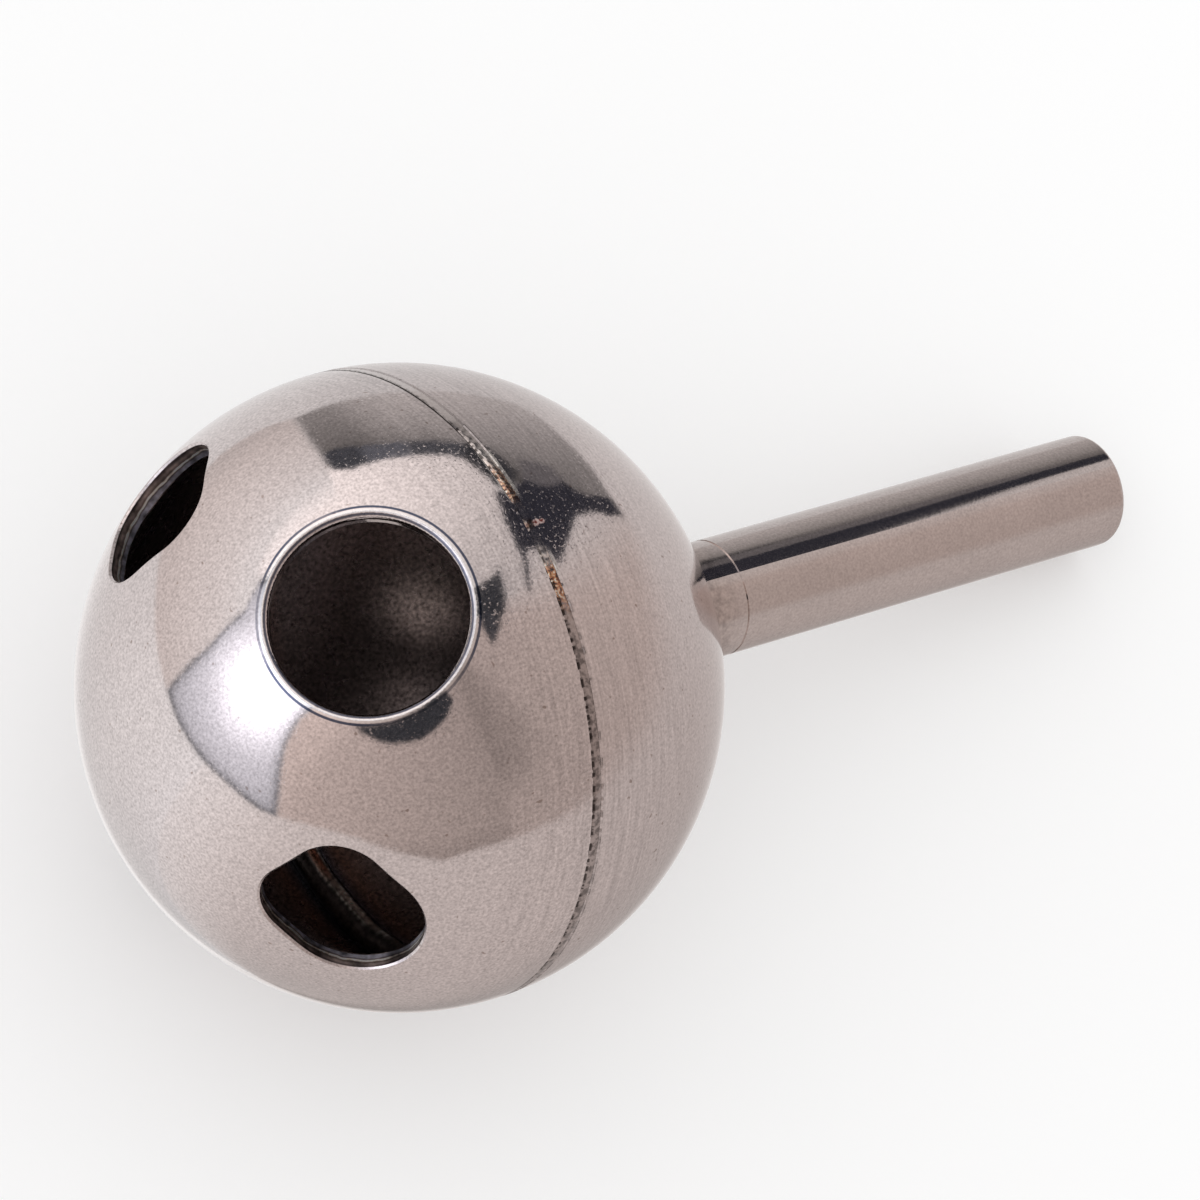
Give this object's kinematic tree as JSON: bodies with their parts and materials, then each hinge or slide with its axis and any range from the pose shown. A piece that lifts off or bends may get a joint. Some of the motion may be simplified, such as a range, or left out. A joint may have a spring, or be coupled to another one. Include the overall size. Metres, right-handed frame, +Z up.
{
  "type": "faucet ball",
  "caption": "Hollow steel control ball for a mixing faucet: welded half shells with a round outlet port, shaped inlet ports, a guide-pin slot and a plain round stem.",
  "frame": {"origin": "centre of the ball", "axes": "+Z up as the part lies at rest; +X along its length, towards the stem's end, so the stem slopes down 16.5 degrees; the plane Y = 0 halves the outlet, the pin slot and the stem"},
  "size_m": [0.0514, 0.027, 0.0269],
  "materials": {
    "polished_steel": "bright polished stainless steel with faint handling marks",
    "ground_steel": "stainless steel with fine turned lines round the stem axis",
    "seam_weld": "ground weld band between dark hairlines, with brown heat tint",
    "stem_steel": "drawn bright stainless rod"
  },
  "bodies": {
    "root": {"lower_shell": "polished_steel", "upper_shell": "ground_steel", "seam_weld": "seam_weld", "stem": "stem_steel"}
  },
  "joints": []
}
